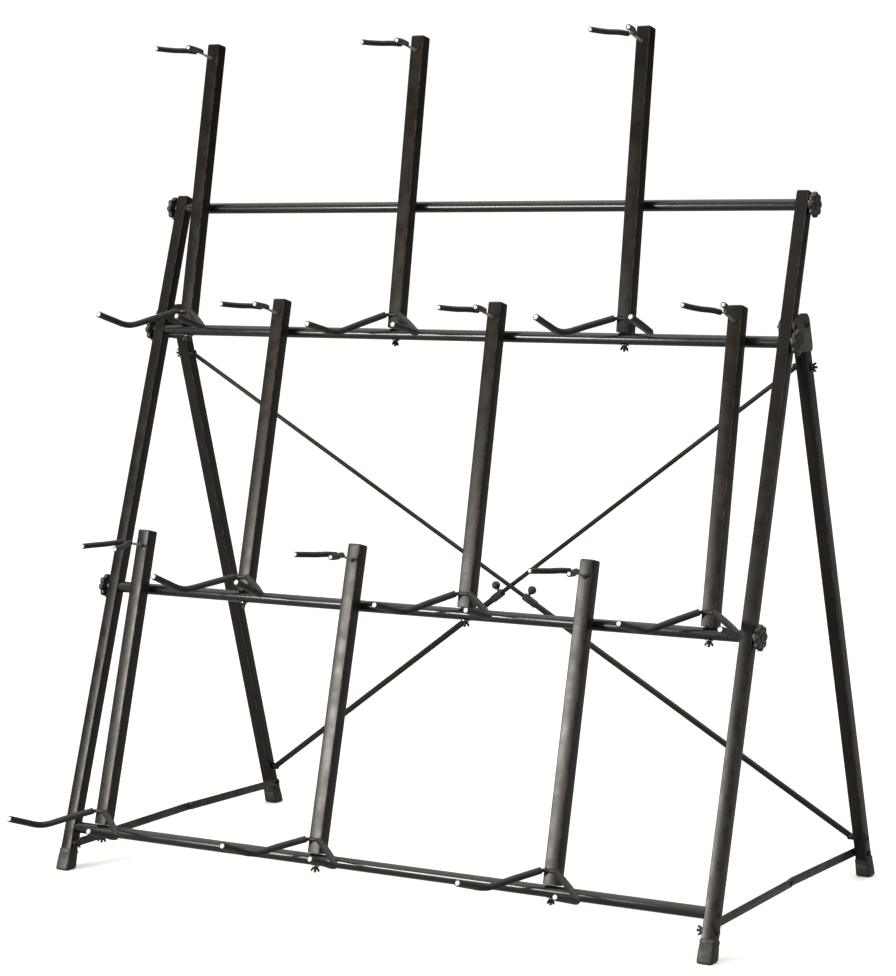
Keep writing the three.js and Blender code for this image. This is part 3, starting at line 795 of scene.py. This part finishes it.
def tip_up(degrees, y, z):
    """Tips a piece up about a line along X through (y, z)."""
    hold = Matrix.Translation((0, y, z))
    return hold @ Matrix.Rotation(-math.radians(degrees), 4, "X") @ hold.inverted()


def neck_yoke(label, at, pitch):
    """A bare stem, a fork rod, and a foam sleeve with a white plug on each prong."""
    node = f"yoke_{label}"
    rides = {"body": "front_frame", "stands_for": node, "slot": "foam"}
    base = (BAR_R + UPRIGHT_LENGTH) / MM - 36
    fork = base + 4
    face = -UPRIGHT_SIDE / MM / 2
    at = at @ tip_up(pitch, face * MM, base * MM)
    prongs = {side: spline(millimetres(
        (side * 7.5, -70, fork),
        (side * 16, -94, fork - 3),
        (side * 29, -119, fork - 8),
        (side * 39, -145, fork - 12),
        (side * 45, -173, fork - 16),
    ), 10) for side in (-1, 1)}
    stem = sweep(millimetres((0, face - 0.4, base), (0, -67, fork)), 3 * MM, 18)
    root = sweep(spline(millimetres((-12, -80, fork - 1), (-5, -69.5, fork), (0, -67, fork),
                                    (5, -69.5, fork), (12, -80, fork - 1)), 6), 3 * MM, 18)
    piece(f"{node}_fork", moved(joined(stem, root), at), FORK_STEEL, **rides)
    weld = revolve([(r * MM, h * MM) for r, h in [(5.6, 0.2), (5.3, 0.9), (4.2, 1.7), (3.2, 2.6)]], 24)
    stand = Matrix.Translation((0, face * MM, base * MM)) @ Matrix.Rotation(math.pi / 2, 4, "X")
    piece(f"{node}_weld", moved(weld, at @ stand), HOLDER_PAINT, **rides)
    for side, word in ((-1, "left"), (1, "right")):
        path = prongs[side]
        foam = moved(sweep(path, YOKE_SLEEVE_R, 28, 1.2 * MM), at)
        piece(f"{node}_sleeve_{word}", foam, FOAM, **rides)
        end_plug(f"{node}_plug_{word}", path, 3.9 * MM, at, rides)


def end_plug(name, path, radius, at, rides):
    """A small domed plug that closes a sleeve's outer end."""
    heading = (path[-1] - path[-2]).normalized()
    turn = Vector((0, 0, 1)).rotation_difference(heading).to_matrix().to_4x4()
    dome = [(radius, -1.2 * MM), (radius, 0.3 * MM), (radius * 0.93, 1.0 * MM), (radius * 0.7, 1.6 * MM),
            (radius * 0.35, 1.85 * MM), (0, 1.9 * MM)]
    piece(name, moved(revolve(dome, 28), at @ Matrix.Translation(path[-1]) @ turn), WHITE, **rides)


def body_cradle(label, at, pitch):
    """One bent rod across the upright's face, with a foam sleeve and a white plug on each arm."""
    node = f"cradle_{label}"
    rides = {"body": "front_frame", "stands_for": node, "slot": "foam"}
    rod_r = 4
    front = -UPRIGHT_SIDE / MM / 2 - GAP / MM - rod_r
    level = 41
    at = at @ tip_up(pitch, front * MM, level * MM)
    bare = spline(millimetres(
        (-40, front - 19, 30), (-22, front - 6, 38.6), (-14, front, level),
        (14, front, level), (22, front - 6, 38.6), (40, front - 19, 30)), 6)
    piece(f"{node}_rod", moved(sweep(bare, rod_r * MM, 20), at), BLACK_BOLT, **rides)
    for side, word in ((-1, "left"), (1, "right")):
        path = spline(millimetres(
            (side * 16.5, front - 4, level),
            (side * 61, -52, 18),
            (side * 98, -81, -3),
            (side * 107, -99, -6),
            (side * 110, -145, -3),
            (side * 110, -199, 1),
        ), 12)
        foam = moved(sweep(path, CRADLE_SLEEVE_R, 32, 1.4 * MM), at)
        piece(f"{node}_sleeve_{word}", foam, FOAM, **rides)
        end_plug(f"{node}_plug_{word}", path, 4.9 * MM, at, rides)


WING_TURNS = [20, 75, 60, -40, 35, 0, 50, 15, 70]    # how the clamps' wings happened to stop, in degrees


def clamp_nut(label, at, turn):
    node = f"wing_nut_{label}"
    hang = (at @ Matrix.Translation((0, 0, -BAR_R - GAP)) @ Matrix.Rotation(math.pi, 4, "X")
            @ Matrix.Rotation(-math.radians(turn), 4, "Z"))
    piece(f"{node}_washer", moved(washer(9 * MM, 1.4 * MM), hang), BRIGHT, node, "knob_plastic", node)
    wings = moved(wing_nut(), hang @ Matrix.Translation((0, 0, 1.5 * MM)))
    piece(f"{node}_wings", wings, BLACK_BOLT, node, "knob_plastic", node)


# ---- the rack ----
for side_name, side_sign in SIDES:
    side_frame(side_name, side_sign)
    stays(side_name, side_sign)
    brace(side_name, side_sign)
    for bar_name in ("top", "upper", "lower"):
        star_knob(bar_name, side_name, side_sign)
for bar_name in BAR_AT:
    crossbar(bar_name)
turns = iter(WING_TURNS)
for tier_name, foot_bar, rest_bar, tier_middle in TIERS:
    foot_y, foot_z, tilt, rest_height = tier_frame(foot_bar, rest_bar)
    by_hand = SET_BY_HAND[tier_name]
    for (column_name, step), skew, yoke_pitch, cradle_pitch in zip(
            COLUMNS, by_hand["skew"], by_hand["yoke"], by_hand["cradle"]):
        holder = f"{tier_name}_{column_name}"
        square = leaning(tilt, tier_middle + step * SPACING, foot_y, foot_z)
        skewed = square @ Matrix.Rotation(math.radians(skew), 4, "Y")
        upright(holder, skewed, rest_height)
        neck_yoke(holder, skewed, yoke_pitch)
        body_cradle(holder, skewed, cradle_pitch)
        clamp_nut(holder, square, next(turns))


# ---- studio ----
SKY_SEEN = 1.15                        # the backdrop, as the camera sees it
SKY_DIM = 0.05                         # the surround, away from the banks of light
SKY_OVERHEAD = 2.2
SKY_BANK = 0.6
BANK_TOWARDS = Vector((-0.5, -0.84, 0.12)).normalized()
STUDIO_TINT = (1.0, 0.97, 0.93, 1)
FLOOR_HALF_SIDE = 30
FLOOR_DROP = 0.4 * MM                  # keeps the floor clear of the boots' soles
CAMERA_AT = (2.9934, -5.1186, 1.4214)
CAMERA_DIP = math.radians(2.57)        # below level
CAMERA_TURN = math.radians(29.87)      # to the left of +Y
CAMERA_SHIFT = (-0.0199, -0.1327)      # frames the rack without tilting the camera
FOCAL_LENGTH = 99.58
SENSOR_WIDTH = 36


def studio_floor():
    bm = bmesh.new()
    bmesh.ops.create_grid(bm, x_segments=8, y_segments=8, size=FLOOR_HALF_SIDE)
    mesh = bpy.data.meshes.new("studio_floor")
    bm.to_mesh(mesh)
    bm.free()
    mesh.materials.append(pale_floor())
    floor = bpy.data.objects.new("studio_floor", mesh)
    floor.location.z = -FLOOR_DROP
    bpy.context.scene.collection.objects.link(floor)


def softbox(name, place, target, size, power, colour=(1, 1, 1)):
    data = bpy.data.lights.new(name, "AREA")
    data.shape = "RECTANGLE"
    data.size, data.size_y = size
    data.energy = power
    data.color = colour
    light = bpy.data.objects.new(name, data)
    light.location = place
    light.rotation_euler = (Vector(target) - Vector(place)).to_track_quat("-Z", "Y").to_euler()
    bpy.context.scene.collection.objects.link(light)


def soft_sky():
    """A studio surround: bright overhead, a low bank of light to the front left, and dim elsewhere.

    The camera sees a plain pale backdrop instead."""
    world = bpy.data.worlds.new("soft_sky")
    world.use_nodes = True
    bpy.context.scene.world = world
    tree = world.node_tree
    heading = add_node(tree, "ShaderNodeTexCoord").outputs["Generated"]
    height = add_node(tree, "ShaderNodeSeparateXYZ", {"Vector": heading}).outputs["Z"]
    overhead = spread(tree, height, 0, SKY_OVERHEAD, 0.3, 0.85)
    towards = add_node(tree, "ShaderNodeVectorMath", {0: heading, 1: BANK_TOWARDS}, operation="DOT_PRODUCT")
    across = spread(tree, towards.outputs["Value"], 0, 1, 0.6, 0.95)
    below = spread(tree, height, 1, 0, 0.17, 0.31)
    glow = multiply(tree, multiply(tree, across, below), SKY_BANK)
    both = add_node(tree, "ShaderNodeMath", {0: overhead, 1: glow}, operation="ADD").outputs["Value"]
    total = add_node(tree, "ShaderNodeMath", {0: both, 1: SKY_DIM}, operation="ADD").outputs["Value"]
    seen = add_node(tree, "ShaderNodeLightPath").outputs["Is Camera Ray"]
    strength = add_node(tree, "ShaderNodeMix", data_type="FLOAT")
    tree.links.new(seen, strength.inputs[0])
    tree.links.new(total, strength.inputs[2])
    strength.inputs[3].default_value = SKY_SEEN
    background = tree.nodes["Background"]
    background.inputs["Color"].default_value = STUDIO_TINT
    tree.links.new(strength.outputs[0], background.inputs["Strength"])


def camera():
    data = bpy.data.cameras.new("camera")
    data.sensor_width = SENSOR_WIDTH
    data.lens = FOCAL_LENGTH
    data.shift_x, data.shift_y = CAMERA_SHIFT
    data.clip_end = 2 * FLOOR_HALF_SIDE
    made = bpy.data.objects.new("camera", data)
    made.location = CAMERA_AT
    made.rotation_euler = (math.pi / 2 - CAMERA_DIP, 0, CAMERA_TURN)
    bpy.context.scene.collection.objects.link(made)
    bpy.context.scene.camera = made


studio_floor()
soft_sky()
softbox("front_left", (-1.95, -3.5, 1.3), (-0.1, -0.2, 0.45), (1.2, 1.1), 150, (1.0, 0.95, 0.89))
softbox("right_edge", (3.6, -0.6, 2.6), (0.4, 0, 0.8), (0.5, 2.4), 6)
camera()
bpy.context.scene.view_settings.view_transform = "Standard"
